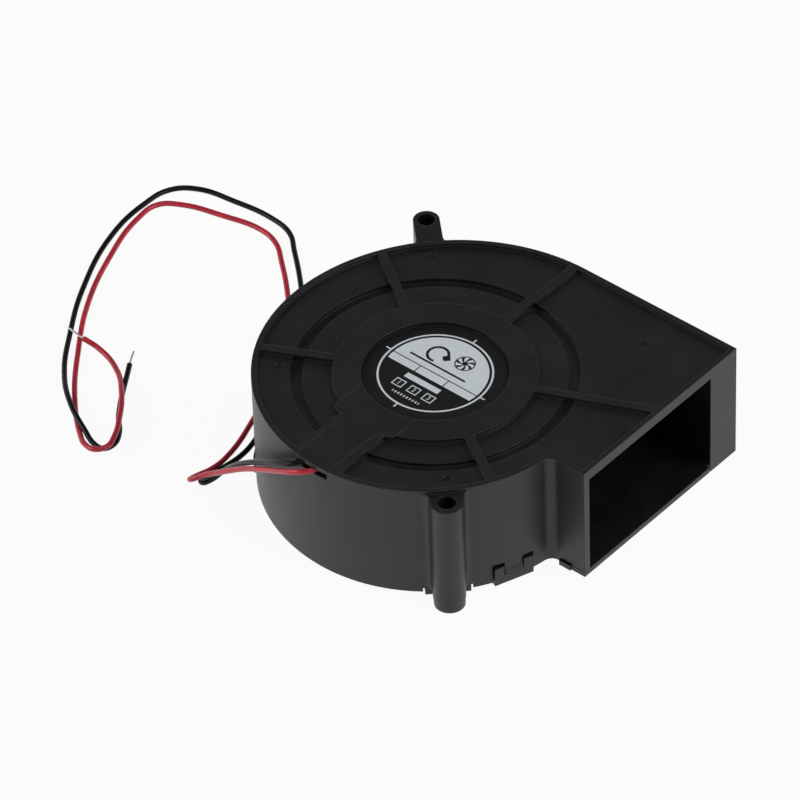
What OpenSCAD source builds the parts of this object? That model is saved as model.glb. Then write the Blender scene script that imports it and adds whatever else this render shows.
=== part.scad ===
// Direct-current blower: scroll housing, snap-on inlet cover, forward-curved impeller, external-rotor motor.
// Origin on the rotor axis, in the plane under the inlet cover. +X out of the outlet, +Z towards the label.

/* [Scroll housing] */
// Overall height
case_h = 33; // [32:0.5:38]
// Wall thickness
wall = 1.9; // [1.6:0.1:2.3]
// Roof thickness
roof_t = 2.1; // [1.6:0.1:2.4]
// Radius of the largest of the three scroll arcs
scroll_r = 49.6; // [49:0.2:54]
// Side of the square whose corners are the arcs' centres
scroll_step = 4.3; // [3.6:0.1:4.6]
// X of the largest arc's centre
scroll_x = 4.2; // [3.6:0.1:5]
// Y of the largest arc's centre
scroll_y = 1.8; // [1.2:0.1:2.4]
// X of the outlet's face
outlet_x = 51.1; // [50:0.5:60]
// Depth of the outlet's near wall below the rotor axis
near_wall_y = 6.3; // [5.6:0.1:7]
// Width of the closed strip beside the outlet
strip_w = 9.9; // [8:0.1:12]
// Radius of the outer corner at the tongue
tongue_r = 2.5; // [1.5:0.1:4]
// Height of the wall's lower edge above the cover's underside
wall_lift = 0.8; // [0.5:0.1:1.2]

/* [Top face] */
// Width of the raised rim
rim_w = 1.3; // [1:0.1:1.8]
// Height of the rim above the roof
rim_h = 0.8; // [0.4:0.1:1.2]
// Outer radius of the moulded groove
groove_r = 34.9; // [34:0.1:37]
// Width of the groove
groove_w = 2.9; // [2:0.1:4]
// Depth of the groove below the roof
groove_depth = 1.2; // [0.6:0.1:1.3]
// Depth of the flat ring inside the groove, below the rim
ring_depth = 1; // [0.6:0.1:1.2]
// Radius of the raised centre
centre_r = 24.8; // [24.2:0.1:26]
// Radius of the label's recess
recess_r = 17.8; // [16:0.1:18]
// Depth of the label's recess
recess_depth = 1; // [0.7:0.1:1.2]
// Width of the radial ribs
rib_w = 2.2; // [1.6:0.1:3]
// Diameter of the round ejector marks
mark_d = 2.6; // [2:0.1:3.2]
// Depth of the ejector marks
mark_depth = 0.3; // [0.1:0.1:0.5]

/* [Mounting ears] */
// Diameter of the fixing holes
hole_d = 4.5; // [3.6:0.1:4.8]
// X of the near ear
near_ear_x = 31.7; // [31:0.1:33]
// Depth of the near ear below the rotor axis
near_ear_y = 33.2; // [33:0.1:34]
// Radius of the near ear's post
near_ear_r = 3.95; // [3.7:0.05:4.4]
// Distance of the far ear to the left of the rotor axis
far_ear_x = 38.65; // [38:0.05:39.5]
// Y of the far ear
far_ear_y = 42.1; // [41.5:0.1:43]
// Radius of the far ear's end
far_ear_r = 3.3; // [3.2:0.05:3.8]
// Radius of the fillets where the ears meet the wall
ear_fillet = 2.4; // [1.5:0.1:3]
// Thickness of the cover's part of each ear
ear_t = 2.2; // [1.8:0.1:3]

/* [Inlet cover] */
// Thickness of the cover
cover_t = 1.5; // [1.2:0.1:1.8]
// Radius of the inlet
inlet_r = 28.5; // [26:0.5:29]
// Radius of the inlet's rolled edge
bell_r = 3.4; // [2.4:0.1:3.6]
// Gap between the cover and the housing
cover_gap = 0.15; // [0.1:0.05:0.25]
// Width of a snap clip
clip_w = 10.5; // [9:0.5:12]
// Height of a snap clip
clip_h = 5.2; // [4.6:0.1:7]
// Width of a clip's prong
prong_w = 2.6; // [2:0.1:3]
// Thickness of a clip
clip_t = 1; // [0.8:0.1:1.1]

/* [Lead channel] */
// Left edge of the channel's cover, left of the rotor axis
channel_left = 6.7; // [6.4:0.1:7.5]
// Right edge of the channel's cover
channel_right = 3.4; // [3.2:0.1:4.5]
// Width of the cover's inner end
flare_w = 18.5; // [16:0.5:19]
// Thickness of the channel's cover
lid_t = 1.15; // [1:0.05:1.2]
// Width of the ledge that the cover lies on
ledge_w = 1.3; // [1:0.1:1.6]
// Height of the channel for the leads
channel_h = 1.65; // [1.6:0.05:1.7]

/* [Impeller] */
// Outer radius
impeller_r = 36; // [34.5:0.5:36.5]
// Height from the hub's face to the back plate's far side
impeller_h = 23.1; // [22:0.1:23.3]
// Gap between the hub's face and the rest plane
hub_z = 4.5; // [4.3:0.1:5]
// Inner radius of the ring of blades
blade_in_r = 27.6; // [27:0.2:30]
// Number of blades
blade_n = 37; // [29:1:41]
// Thickness of a blade
blade_t = 0.8; // [0.6:0.1:1]
// Radius of a blade's curve
blade_curve_r = 6.2; // [5.6:0.2:7.5]
// Outer radius of the hub
hub_r = 20.6; // [20.4:0.1:21.4]
// Thickness of the hub's face
hub_t = 1.3; // [1:0.1:1.6]
// Thickness of the back plate
plate_t = 1.2; // [0.9:0.1:1.6]
// Width of the ring that ties the blades' ends
tie_w = 1.6; // [1.2:0.1:2.2]
// Height of that ring
tie_h = 1.8; // [1.2:0.1:3]

/* [Rotor] */
// Thickness of the steel cup
yoke_t = 1; // [0.8:0.1:1.1]
// Thickness of the magnet
magnet_t = 2; // [1.6:0.1:2.2]
// Height of the magnet
magnet_h = 15; // [12:0.5:15.5]
// Diameter of the shaft
shaft_d = 3; // [2.6:0.1:3.2]
// Gap between the hub and the steel cup
yoke_gap = 0.05; // [0.02:0.01:0.1]
// Air gap between the stator and the magnet
air_gap = 0.4; // [0.3:0.05:0.6]

/* [Bearings] */
// Outer diameter of a ball bearing
bearing_d = 8; // [7.6:0.1:8.2]
// Width of a ball bearing
bearing_w = 4; // [3.6:0.1:4.4]
// Diameter of a ball
ball_d = 1.5; // [1.3:0.05:1.6]
// Number of balls
ball_n = 7; // [5:1:7]
// Gap between a ball and its races
ball_gap = 0.02; // [0.01:0.01:0.04]
// Radial gap of the sliding fits
fit_gap = 0.02; // [0.01:0.01:0.04]
// Wall of the bearing tube
tube_t = 1.4; // [1.2:0.1:1.6]

/* [Stator] */
// Height of the stack of laminations
core_h = 8; // [6:0.5:9]
// Number of poles
pole_n = 4; // [4:1:4]
// Width of a tooth
tooth_w = 4.5; // [3.5:0.1:5]
// Thickness of a pole's face
shoe_t = 1.4; // [1:0.1:1.6]
// Angle that a pole's face covers
shoe_angle = 74; // [68:1:80]
// Thickness of the insulators
insulator_t = 0.8; // [0.6:0.1:1]
// Depth of the winding over the insulator
coil_t = 2.4; // [1.6:0.1:2.6]
// Thickness of the circuit board
board_t = 1.2; // [0.8:0.1:1.4]
// Outer radius of the circuit board
board_r = 17.6; // [16.8:0.1:17.8]

/* [Leads] */
// Outer diameter of a lead
lead_d = 1.4; // [1.2:0.05:1.45]
// Diameter of the tinned wire in a lead
wire_d = 0.8; // [0.6:0.05:0.9]
// Length of the stripped end
strip_l = 5.2; // [3:0.2:8]

/* [Hidden] */
$fn = 96;
eps = 0.01;
big = 200;

// Heights
roof_z = case_h - rim_h;
duct_z = roof_z - roof_t;
groove_z = roof_z - groove_depth;
ring_z = case_h - ring_depth;
base_z = groove_z - 2;
recess_z = case_h - recess_depth;
pocket_z = recess_z - 1.2;

// Scroll
far_wall_y = scroll_y + scroll_r;
arc_c = [[scroll_x - scroll_step, scroll_y - scroll_step], [scroll_x - scroll_step, scroll_y],
    [scroll_x, scroll_y]];
arc_r = [scroll_r - 2 * scroll_step, scroll_r - scroll_step, scroll_r];
mouth_y1 = far_wall_y - strip_w;
duct_l = outlet_x - scroll_x;
duct_drop = far_wall_y - wall - mouth_y1;
guide_r = (duct_l * duct_l + duct_drop * duct_drop) / (2 * duct_drop);

// Ears, as a place, an end radius and the arc that they stand on
near_ear = [[near_ear_x, -near_ear_y], near_ear_r, 0];
far_ear = [[-far_ear_x, far_ear_y], far_ear_r, 2];
ears = [near_ear, far_ear];
notch_gap = 0.5;
ear_slot_w = 12;

// Clips, as a place on the wall's outer face and the direction that it faces
function on_arc(i, a) = arc_c[i] + arc_r[i] * [cos(a), sin(a)];
clips = [[on_arc(0, -21), -21], [on_arc(1, -146), -146], [on_arc(2, 112), 112], [[38, far_wall_y], 90]];
clip_sink = 0.75;
clip_clear = 0.25;
clip_bar_h = 2.4;
lid_gap = 0.12;
lid_end_y = arc_c[1][1] - arc_r[1];

// Motor
hub_in_r = hub_r - 1.5;
hub_top_z = hub_z + impeller_h;
yoke_r = hub_in_r - yoke_gap;
magnet_r = yoke_r - yoke_t;
stator_r = magnet_r - magnet_t - air_gap;
yoke_z = hub_z + hub_t + yoke_gap;
magnet_z = yoke_z + yoke_t + 2.2;
core_z = magnet_z + (magnet_h - core_h) / 2;
shaft_r = shaft_d / 2;
tube_in_r = bearing_d / 2 + fit_gap;
tube_r = tube_in_r + tube_t;
board_top_z = pocket_z - 3;
board_z = board_top_z - board_t;
tube_z = yoke_z + yoke_t + 2.9;
lower_bearing_z = tube_z + 0.8;
upper_bearing_z = pocket_z - 7.4;
clip_z = upper_bearing_z + bearing_w + 0.05;
clip_plate_t = 0.5;
shaft_top_z = clip_z + clip_plate_t + 0.7;
shoe_in_r = stator_r - shoe_t;
coil_in_r = tube_r + 3.6;
tooth_side = tooth_w / 2 + 0.7;
coil_out_r = sqrt(shoe_in_r * shoe_in_r - pow(tooth_side + 2.6, 2)) - 0.6;

// Leads: places by hand, in millimetres, from the solder joint to the cut end
red_route = [[-1.2, -18.8, 28.7], [-1.2, -21.4, 29.7], [-1, -24.6, 31], [-0.4, -34, 31], [-0.4, -41.5, 31],
    [-1.8, -44.5, 30.9], [-5, -46, 30], [-10, -45.4, 27], [-17, -43.6, 22.2], [-25, -41.8, 16.6],
    [-33.3, -40.8, 10.2], [-37.2, -40.2, 7], [-40.4, -40.5, 4.7], [-42.4, -41.6, 3.3], [-44.2, -40.9, 1.7],
    [-44.4, -38.3, 0.8], [-43.2, -34, 0.8], [-43.2, -29, 0.8], [-47, -15.1, 0.8], [-58.5, 12, 0.8],
    [-71.3, 25.9, 0.8], [-81, 34.6, 0.8], [-87, 39.2, 0.8], [-93, 40.8, 0.8], [-105, 38.8, 0.8],
    [-116, 35.4, 0.8], [-120.4, 31.8, 0.8], [-120.8, 25, 0.8], [-115.9, 8.4, 0.8], [-108, -8.2, 0.8],
    [-98, -22.5, 0.8], [-87.5, -35.2, 0.8], [-76.4, -45.2, 0.9], [-72.4, -47.6, 1.6], [-68.8, -47.8, 2.3],
    [-67.3, -45.4, 2.4], [-68.2, -42, 2.4], [-72.3, -35.3, 2.4], [-77.2, -29.2, 2.4], [-87.3, -20.9, 0.8],
    [-94.7, -18.9, 1.3], [-99, -19.3, 2.2]];
black_route = [[-3.8, -18.8, 28.7], [-3.8, -21.4, 29.7], [-3.8, -24.6, 31], [-3.8, -34, 31],
    [-4.3, -41.5, 31], [-6, -44.3, 30.9], [-10, -44.8, 29.2], [-17.5, -42.9, 23.8], [-25, -40.8, 17.9],
    [-31, -38.8, 12.1], [-36.7, -37.3, 5.8], [-39, -38.8, 3], [-40.9, -39.9, 1.7], [-42.6, -38.5, 0.9],
    [-42.2, -35.8, 0.8], [-41.2, -31.3, 0.8], [-40.9, -24.9, 0.8], [-42.4, -18, 0.8], [-48.4, 1, 0.8],
    [-56.4, 15, 0.8], [-70.4, 30, 0.8], [-81.5, 40, 0.8], [-87, 44.4, 0.8], [-94, 45.9, 0.8],
    [-106, 45, 0.8], [-117, 42.6, 0.8], [-122, 38, 0.8], [-123.3, 30, 0.8], [-121.6, 16, 0.8],
    [-113, -4.6, 0.8], [-104, -19, 0.8], [-95, -30.8, 1.2], [-84.6, -39.6, 2.5], [-76.4, -43.7, 1.7],
    [-71.6, -45.4, 0.8], [-68.8, -45.2, 0.8], [-67.8, -42.8, 0.8], [-69, -39.4, 0.8], [-74.2, -33.7, 0.8],
    [-84.6, -18.3, 0.8]];

// ---------- shared shapes ----------

// One quarter of a disc, on the side that the signs name
module quarter(centre, r, side_x, side_y) {
    translate(centre) intersection() {
        circle(r);
        translate([side_x < 0 ? -big : 0, side_y < 0 ? -big : 0]) square(big);
    }
}

// The scroll and its duct, moved inwards by inset, with the duct running on to x1 under y1
module scroll(inset, x1, y1) {
    quarter(arc_c[0], arc_r[0] - inset, 1, -1);
    quarter(arc_c[1], arc_r[1] - inset, -1, -1);
    quarter(arc_c[2], arc_r[2] - inset, -1, 1);
    translate(arc_c[0]) square([scroll_step + eps, scroll_step + eps]);
    translate([scroll_x, inset - near_wall_y]) square([x1 - scroll_x, y1 + near_wall_y - inset]);
}

// Fills the corner between a straight side of half width half_w and an arc that the side stands on.
// The side runs along +X from the arc, whose centre lies at -centre_d.
module side_fillet(half_w, centre_d, r, fillet, side) {
    fx = sqrt(pow(r + fillet, 2) - pow(half_w + fillet, 2)) - centre_d;
    scale([1, side]) difference() {
        polygon([[-centre_d, 0], [fx, 0], [fx, half_w + fillet]]);
        translate([fx, half_w + fillet]) circle(fillet);
    }
}

// Places its children at an ear, with +X pointing away from the arc that the ear stands on
module at_ear(ear) {
    away = ear[0] - arc_c[ear[2]];
    translate(ear[0]) rotate(atan2(away[1], away[0])) children();
}

module ear_shape(ear, inset) {
    centre_d = norm(ear[0] - arc_c[ear[2]]);
    end_r = ear[1] - inset;
    reach = centre_d - arc_r[ear[2]] + wall / 2;
    at_ear(ear) {
        circle(end_r);
        translate([-reach, -end_r]) square([reach, 2 * end_r]);
    }
}

module ear_fillets(ear) {
    centre_d = norm(ear[0] - arc_c[ear[2]]);
    at_ear(ear) for (side = [-1, 1])
        side_fillet(ear[1], centre_d, arc_r[ear[2]], ear_fillet, side);
}

// Outer corner between the scroll's smallest arc and the outlet's near wall
module tongue_corner() {
    fy = -near_wall_y - tongue_r;
    fx = arc_c[0][0] + sqrt(pow(arc_r[0] + tongue_r, 2) - pow(fy - arc_c[0][1], 2));
    difference() {
        polygon([arc_c[0], [fx, fy], [fx, -near_wall_y + eps], [fx - tongue_r * 2, -near_wall_y + eps]]);
        translate([fx, fy]) circle(tongue_r);
    }
}

module outer_shape() {
    scroll(0, outlet_x, far_wall_y);
    tongue_corner();
}

// The air's way: the scroll inside the walls, then a duct whose far side bends in to the mouth
module flow_shape(x1) {
    intersection() {
        scroll(wall, x1, far_wall_y - wall);
        union() {
            translate([-big, -big]) square([big + scroll_x, 2 * big]);
            translate([scroll_x, far_wall_y - wall - guide_r]) circle(guide_r, $fn = 360);
        }
    }
}

// The hollow between the duct's bent side and the straight far wall
module side_pocket() {
    difference() {
        translate([scroll_x, mouth_y1]) square([duct_l - wall, duct_drop]);
        translate([scroll_x, far_wall_y - wall - guide_r]) circle(guide_r + wall, $fn = 360);
    }
}

// Places its children on the wall's outer face at a clip, with +X outwards
module at_clip(clip) {
    translate(clip[0]) rotate(clip[1]) children();
}

module tube_shape(outer_r, inner_r, z0, z1) {
    translate([0, 0, z0]) difference() {
        cylinder(r = outer_r, h = z1 - z0);
        translate([0, 0, -1]) cylinder(r = inner_r, h = z1 - z0 + 2);
    }
}

module slab(x0, x1, y0, y1, z0, z1) {
    translate([x0, y0, z0]) cube([x1 - x0, y1 - y0, z1 - z0]);
}

// ---------- lead channel ----------

// Plan of the channel's cover; grow widens it all round
module lid_shape(grow) {
    bend_y = -25.5;
    mid_x = (channel_right - channel_left) / 2;
    left_x = mid_x - flare_w / 2;
    right_x = mid_x + flare_w / 2;
    difference() {
        union() {
            translate([-channel_left - grow, -big]) square([channel_left + channel_right + 2 * grow, big]);
            translate([left_x - grow, bend_y]) square([flare_w + 2 * grow, -bend_y]);
            flare_side(-channel_left - grow, left_x - grow, bend_y);
            flare_side(channel_right + grow, right_x + grow, bend_y);
        }
        circle(recess_r - grow);
        flare_round(left_x - grow, bend_y, 1);
        flare_round(right_x + grow, bend_y, -1);
    }
}

// Hollow fillet where the straight part opens out, from x0 towards x1
module flare_side(x0, x1, y) {
    r = abs(x1 - x0) / 2;
    s = sign(x1 - x0);
    difference() {
        translate([min(x0, x0 + s * r), y - r]) square([r, r]);
        translate([x0 + s * r, y - r]) circle(r);
    }
}

// Removes the outer corner at (x, y), leaving a round one
module flare_round(x, y, s) {
    r = abs(flare_w - channel_left - channel_right) / 4;
    difference() {
        translate([min(x, x + s * r) - (s > 0 ? 1 : 0), y - 1]) square([r + 1, r + 1]);
        translate([x + s * r, y + r]) circle(r);
    }
}

// ---------- casing ----------

module housing() {
    color([0.13, 0.13, 0.135]) difference() {
        union() {
            difference() {
                union() {
                    translate([0, 0, wall_lift]) linear_extrude(case_h - wall_lift) outer_shape();
                    for (ear = ears) translate([0, 0, wall_lift]) linear_extrude(roof_z - wall_lift) {
                        ear_shape(ear, 0);
                        ear_fillets(ear);
                    }
                    slab(outlet_x - wall, outlet_x, mouth_y1, far_wall_y, 0, wall_lift + eps);
                }
                // the hollow inside, over the cover
                translate([0, 0, -1]) linear_extrude(duct_z + 1) flow_shape(outlet_x + 1);
                translate([0, 0, -1]) linear_extrude(duct_z + 1) side_pocket();
                // the lower edge, cut back for the cover's plate
                translate([0, 0, -1]) linear_extrude(cover_t + cover_gap + 1)
                    scroll(wall, outlet_x - wall, far_wall_y - wall);
                top_relief();
            }
            ribs();
            // raised motor base under the groove
            translate([0, 0, base_z]) cylinder(r = groove_r + 1.4, h = duct_z - base_z + eps);
            tube_shape(tube_r + 1.8, tube_r, pocket_z - 2.4, pocket_z + eps);
            for (clip = clips) wedge(clip);
        }
        motor_pocket();
        translate([0, 0, recess_z]) cylinder(r = recess_r, h = recess_depth + 1);
        channel_cuts();
        for (ear = ears) ear_cuts(ear);
        for (clip = clips) clip_pocket(clip);
        sill_cut();
        for (mark = [[32.1, 39.3], [-28.4, 32.3], [-30.9, -21.7], [26.6, -27]])
            translate([mark[0], mark[1], roof_z - mark_depth]) cylinder(d = mark_d, h = 1);
    }
}

// Everything between the rim and the raised centre
module top_relief() {
    difference() {
        translate([0, 0, roof_z]) linear_extrude(rim_h + 1) scroll(rim_w, outlet_x - rim_w, far_wall_y - rim_w);
        translate([0, 0, roof_z - 1]) cylinder(r = groove_r, h = rim_h + 3);
    }
    tube_shape(groove_r, groove_r - groove_w, groove_z, case_h + 1);
    tube_shape(groove_r - groove_w + eps, centre_r, ring_z, case_h + 1);
}

module ribs() {
    intersection() {
        union() {
            for (a = [24, 88, 147, 207, 329]) rotate(a)
                slab(centre_r - 1, big, -rib_w / 2, rib_w / 2, groove_z - eps, case_h);
            // rib along the channel's right side
            slab(channel_right + lid_gap, channel_right + lid_gap + rib_w, -big, -centre_r + 1, groove_z - eps, case_h);
            slab(-channel_left - lid_gap - rib_w / 2, channel_right + lid_gap + eps, -big, -centre_r + 1,
                groove_z - eps, case_h);
        }
        translate([0, 0, groove_z - 1]) linear_extrude(case_h) scroll(wall / 2, outlet_x - wall / 2, far_wall_y);
    }
}

// Room for the circuit board under the raised centre
module motor_pocket() {
    difference() {
        translate([0, 0, base_z - 1]) cylinder(r = hub_in_r + 0.3, h = pocket_z - base_z + 1);
        translate([0, 0, base_z - 2]) cylinder(r = tube_r + 1.8, h = pocket_z);
    }
    translate([0, 0, base_z - 3]) cylinder(r = tube_r, h = pocket_z - base_z + 3);
    translate([0, 0, base_z - 3]) cylinder(r = tube_in_r, h = case_h);
}

module channel_cuts() {
    lid_z = case_h - lid_t - 0.05;
    floor_z = lid_z - channel_h;
    left = -channel_left + ledge_w;
    right = channel_right - ledge_w;
    // seat of the cover
    translate([0, 0, lid_z]) linear_extrude(lid_t + 1) lid_shape(lid_gap);
    // channel under it, out through the wall
    slab(left, right, -big, -recess_r - 1.2, floor_z, lid_z + 1);
    // wide mouth in the wall, so that the leads can bend to either side
    slab(-channel_left + 0.2, channel_right - 0.2, -big, lid_end_y + 3.6, floor_z, lid_z + eps);
    // way down to the circuit board
    slab(left, right, -centre_r, -recess_r - 0.6, base_z - 1, lid_z);
}

module ear_cuts(ear) {
    translate([ear[0][0], ear[0][1], -1]) cylinder(d = hole_d, h = case_h + 2);
    // the cover's part of the ear comes through the wall here
    centre_d = norm(ear[0] - arc_c[ear[2]]) - arc_r[ear[2]];
    at_ear(ear) slab(-centre_d - 2 * wall, ear[1] + 1, -ear_slot_w / 2, ear_slot_w / 2, -1, ear_t + cover_gap);
}

// U-shaped sunk place for a clip, with a tab left standing between the prongs
module clip_pocket(clip) {
    half = clip_w / 2 + clip_clear;
    tab = clip_w / 2 - prong_w - clip_clear;
    at_clip(clip) difference() {
        slab(-clip_sink - clip_clear, 4, -half, half, -1, clip_h + 1);
        slab(-4, 5, -tab, tab, clip_bar_h + clip_clear, clip_h + 2);
    }
    at_clip(clip) slab(-wall - 1.5, 1, -half, half, -1, cover_t + cover_gap);
}

// Ramp on the tab that the clip's cross bar snaps over
module wedge(clip) {
    tab = clip_w / 2 - prong_w - clip_clear;
    at_clip(clip) translate([0, tab, clip_bar_h + clip_clear]) rotate([90, 0, 0])
        linear_extrude(2 * tab) polygon([[-wall / 2, 0], [0.35, 0], [0.35, 0.6], [-0.3, 2.4], [-wall / 2, 2.4]]);
}

// The cover's sill closes the mouth under the near wall
module sill_cut() {
    slab(outlet_x - 7.6 - cover_gap, outlet_x + 1, -near_wall_y - 2, mouth_y1 - cover_gap, -1, cover_t + cover_gap);
}

module inlet_cover() {
    inset = wall + cover_gap;
    color([0.14, 0.14, 0.145]) difference() {
        union() {
            linear_extrude(cover_t) scroll(inset, outlet_x - inset, far_wall_y - inset);
            slab(outlet_x - 7.6, outlet_x, -near_wall_y, mouth_y1 - 2 * cover_gap, 0, cover_t);
            slab(outlet_x - 7.6, outlet_x - 4.2, -near_wall_y - 0.5, 0, 0, cover_t);
            for (ear = ears) linear_extrude(ear_t) cover_ear(ear);
            for (clip = clips) clip_hook(clip);
            rotate_extrude() bell_profile();
        }
        translate([0, 0, -1]) cylinder(r = inlet_r + bell_r - eps, h = 1 + eps);
        inlet_cut();
        for (ear = ears) translate([ear[0][0], ear[0][1], -1]) cylinder(d = hole_d, h = case_h);
    }
}

module cover_ear(ear) {
    centre_d = norm(ear[0] - arc_c[ear[2]]) - arc_r[ear[2]];
    ear_shape(ear, cover_gap);
    at_ear(ear) translate([-centre_d - wall - 1, -ear_slot_w / 2 + notch_gap])
        square([wall + 1 - 0.2, ear_slot_w - 2 * notch_gap]);
}

module clip_hook(clip) {
    half = clip_w / 2;
    at_clip(clip) {
        slab(-wall - 1, clip_t - clip_sink, -half, half, 0, cover_t);
        difference() {
            slab(-clip_sink, clip_t - clip_sink, -half, half, 0, clip_h);
            slab(-clip_sink - 1, clip_t, -half + prong_w, half - prong_w, clip_bar_h, clip_h + 1);
        }
    }
}

// The rolled edge: a quarter ring from the plate's underside up into the inlet
module bell_profile() {
    difference() {
        translate([inlet_r + bell_r, bell_r]) intersection() {
            circle(bell_r);
            translate([-bell_r, -bell_r]) square(bell_r);
        }
        translate([inlet_r + bell_r, bell_r]) circle(bell_r - cover_t);
    }
}

// What the plate loses inside the rolled edge
module inlet_cut() {
    rotate_extrude() difference() {
        translate([0, -1]) square([inlet_r + bell_r, bell_r + 2]);
        translate([inlet_r + bell_r, bell_r]) circle(bell_r);
    }
    translate([0, 0, cover_t]) cylinder(r = inlet_r, h = bell_r);
}

module lead_channel_cover() {
    lid_z = case_h - lid_t;
    color([0.125, 0.125, 0.13]) intersection() {
        translate([0, 0, lid_z]) linear_extrude(lid_t) lid_shape(0);
        translate([0, 0, lid_z - 1]) linear_extrude(lid_t + 2) scroll(0, outlet_x, far_wall_y);
    }
}

module label() {
    color([0.72, 0.75, 0.76]) translate([0, 0, recess_z]) cylinder(r = recess_r - 0.4, h = 0.25);
}

// ---------- impeller and rotor ----------

module impeller() {
    color([0.1, 0.1, 0.105]) {
        rotate_extrude() hub_profile();
        tube_shape(impeller_r, impeller_r - tie_w, hub_z, hub_z + tie_h);
        translate([0, 0, hub_z + 0.6]) linear_extrude(impeller_h - 0.6 - plate_t / 2)
            for (i = [0 : blade_n - 1]) rotate(i * 360 / blade_n) blade();
    }
}

module hub_profile() {
    corner = 2;
    difference() {
        union() {
            translate([0, hub_z]) square([hub_r - corner, impeller_h]);
            translate([0, hub_z + corner]) square([hub_r, impeller_h - corner]);
            translate([hub_r - corner, hub_z + corner]) circle(corner);
        }
        translate([0, hub_z + hub_t]) square([hub_in_r, impeller_h]);
    }
    translate([hub_in_r, hub_top_z - plate_t]) square([impeller_r - tie_w - hub_in_r, plate_t]);
}

// Forward-curved blade, hollow towards the way it turns
module blade() {
    tip_r = impeller_r - tie_w / 2;
    root_x = blade_in_r + 2.6;
    intersection() {
        translate([root_x, -blade_curve_r]) difference() {
            circle(blade_curve_r + blade_t / 2);
            circle(blade_curve_r - blade_t / 2);
        }
        difference() {
            circle(tip_r);
            circle(blade_in_r);
        }
        translate([blade_in_r - 3, -4.4]) square([tip_r - blade_in_r + 4, 6]);
    }
}

module rotor_yoke() {
    color([0.62, 0.62, 0.64]) difference() {
        translate([0, 0, yoke_z]) cylinder(r = yoke_r, h = magnet_z + magnet_h - yoke_z + 0.5);
        translate([0, 0, yoke_z + yoke_t]) cylinder(r = yoke_r - yoke_t, h = case_h);
        translate([0, 0, yoke_z - 1]) cylinder(r = shaft_r + 1.2 + fit_gap, h = 4);
    }
}

module magnet_ring() {
    color([0.2, 0.19, 0.19])
        tube_shape(magnet_r - fit_gap, magnet_r - magnet_t, magnet_z, magnet_z + magnet_h);
}

module shaft() {
    color([0.78, 0.78, 0.8]) difference() {
        translate([0, 0, yoke_z]) cylinder(r = shaft_r, h = shaft_top_z - yoke_z);
        tube_shape(shaft_r + 1, shaft_r - 0.3, clip_z, clip_z + clip_plate_t);
    }
}

module shaft_boss() {
    color([0.75, 0.6, 0.3]) difference() {
        union() {
            translate([0, 0, yoke_z]) cylinder(r = shaft_r + 1.2, h = yoke_t + 1);
            translate([0, 0, yoke_z + yoke_t]) cylinder(r = shaft_r + 2.4, h = 1.4);
        }
        translate([0, 0, yoke_z - 1]) cylinder(r = shaft_r, h = 5);
    }
}

module retaining_clip() {
    color([0.5, 0.5, 0.52]) difference() {
        tube_shape(shaft_r + 0.9, shaft_r - 0.3, clip_z, clip_z + clip_plate_t);
        slab(0, big, -0.8, 0.8, clip_z - 1, clip_z + 2);
    }
}

// Coil spring between the boss and the lower bearing's inner ring
module preload_spring() {
    wire_r = 0.17;
    z0 = yoke_z + yoke_t + 1.4 + wire_r;
    z1 = lower_bearing_z - wire_r;
    turns = 3;
    steps = 36;
    route = [for (i = [0 : steps]) let (a = 360 * turns * i / steps)
        [(shaft_r + 0.45) * cos(a), (shaft_r + 0.45) * sin(a), z0 + (z1 - z0) * i / steps]];
    color([0.6, 0.6, 0.62]) swept_tube(route, wire_r, 6);
}

// ---------- bearings ----------

race_r = (shaft_r + bearing_d / 2) / 2;

module bearing_outer(z) {
    color([0.7, 0.7, 0.72]) difference() {
        tube_shape(bearing_d / 2, race_r + 0.55, z, z + bearing_w);
        ball_groove(z);
        for (end = [z - eps, z + bearing_w - 0.3]) translate([0, 0, end])
            cylinder(r = race_r + 0.85, h = 0.3 + eps);
    }
}

module bearing_inner(z) {
    color([0.7, 0.7, 0.72]) difference() {
        tube_shape(race_r - 0.55, shaft_r + fit_gap, z, z + bearing_w);
        ball_groove(z);
    }
}

module ball_groove(z) {
    translate([0, 0, z + bearing_w / 2]) rotate_extrude() translate([race_r, 0])
        circle(ball_d / 2 + ball_gap, $fn = 48);
}

module bearing_balls(z) {
    color([0.85, 0.85, 0.87]) for (i = [0 : ball_n - 1]) rotate(i * 360 / ball_n)
        translate([race_r, 0, z + bearing_w / 2]) sphere(d = ball_d, $fn = 32);
}

module bearing_cage(z) {
    color([0.55, 0.45, 0.25]) difference() {
        tube_shape(race_r + 0.3, race_r - 0.3, z + bearing_w / 2 - 0.95, z + bearing_w / 2 + 0.95);
        for (i = [0 : ball_n - 1]) rotate(i * 360 / ball_n)
            translate([race_r, 0, z + bearing_w / 2]) sphere(d = ball_d + 2 * ball_gap, $fn = 32);
    }
}

module bearing_shields(z) {
    color([0.6, 0.6, 0.62]) for (end = [z + 0.05, z + bearing_w - 0.25])
        tube_shape(race_r + 0.84, race_r - 0.45, end, end + 0.2);
}

module lower_bearing_outer() { bearing_outer(lower_bearing_z); }
module lower_bearing_inner() { bearing_inner(lower_bearing_z); }
module lower_bearing_balls() { bearing_balls(lower_bearing_z); }
module lower_bearing_cage() { bearing_cage(lower_bearing_z); }
module lower_bearing_shields() { bearing_shields(lower_bearing_z); }
module upper_bearing_outer() { bearing_outer(upper_bearing_z); }
module upper_bearing_inner() { bearing_inner(upper_bearing_z); }
module upper_bearing_balls() { bearing_balls(upper_bearing_z); }
module upper_bearing_cage() { bearing_cage(upper_bearing_z); }
module upper_bearing_shields() { bearing_shields(upper_bearing_z); }

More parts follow.
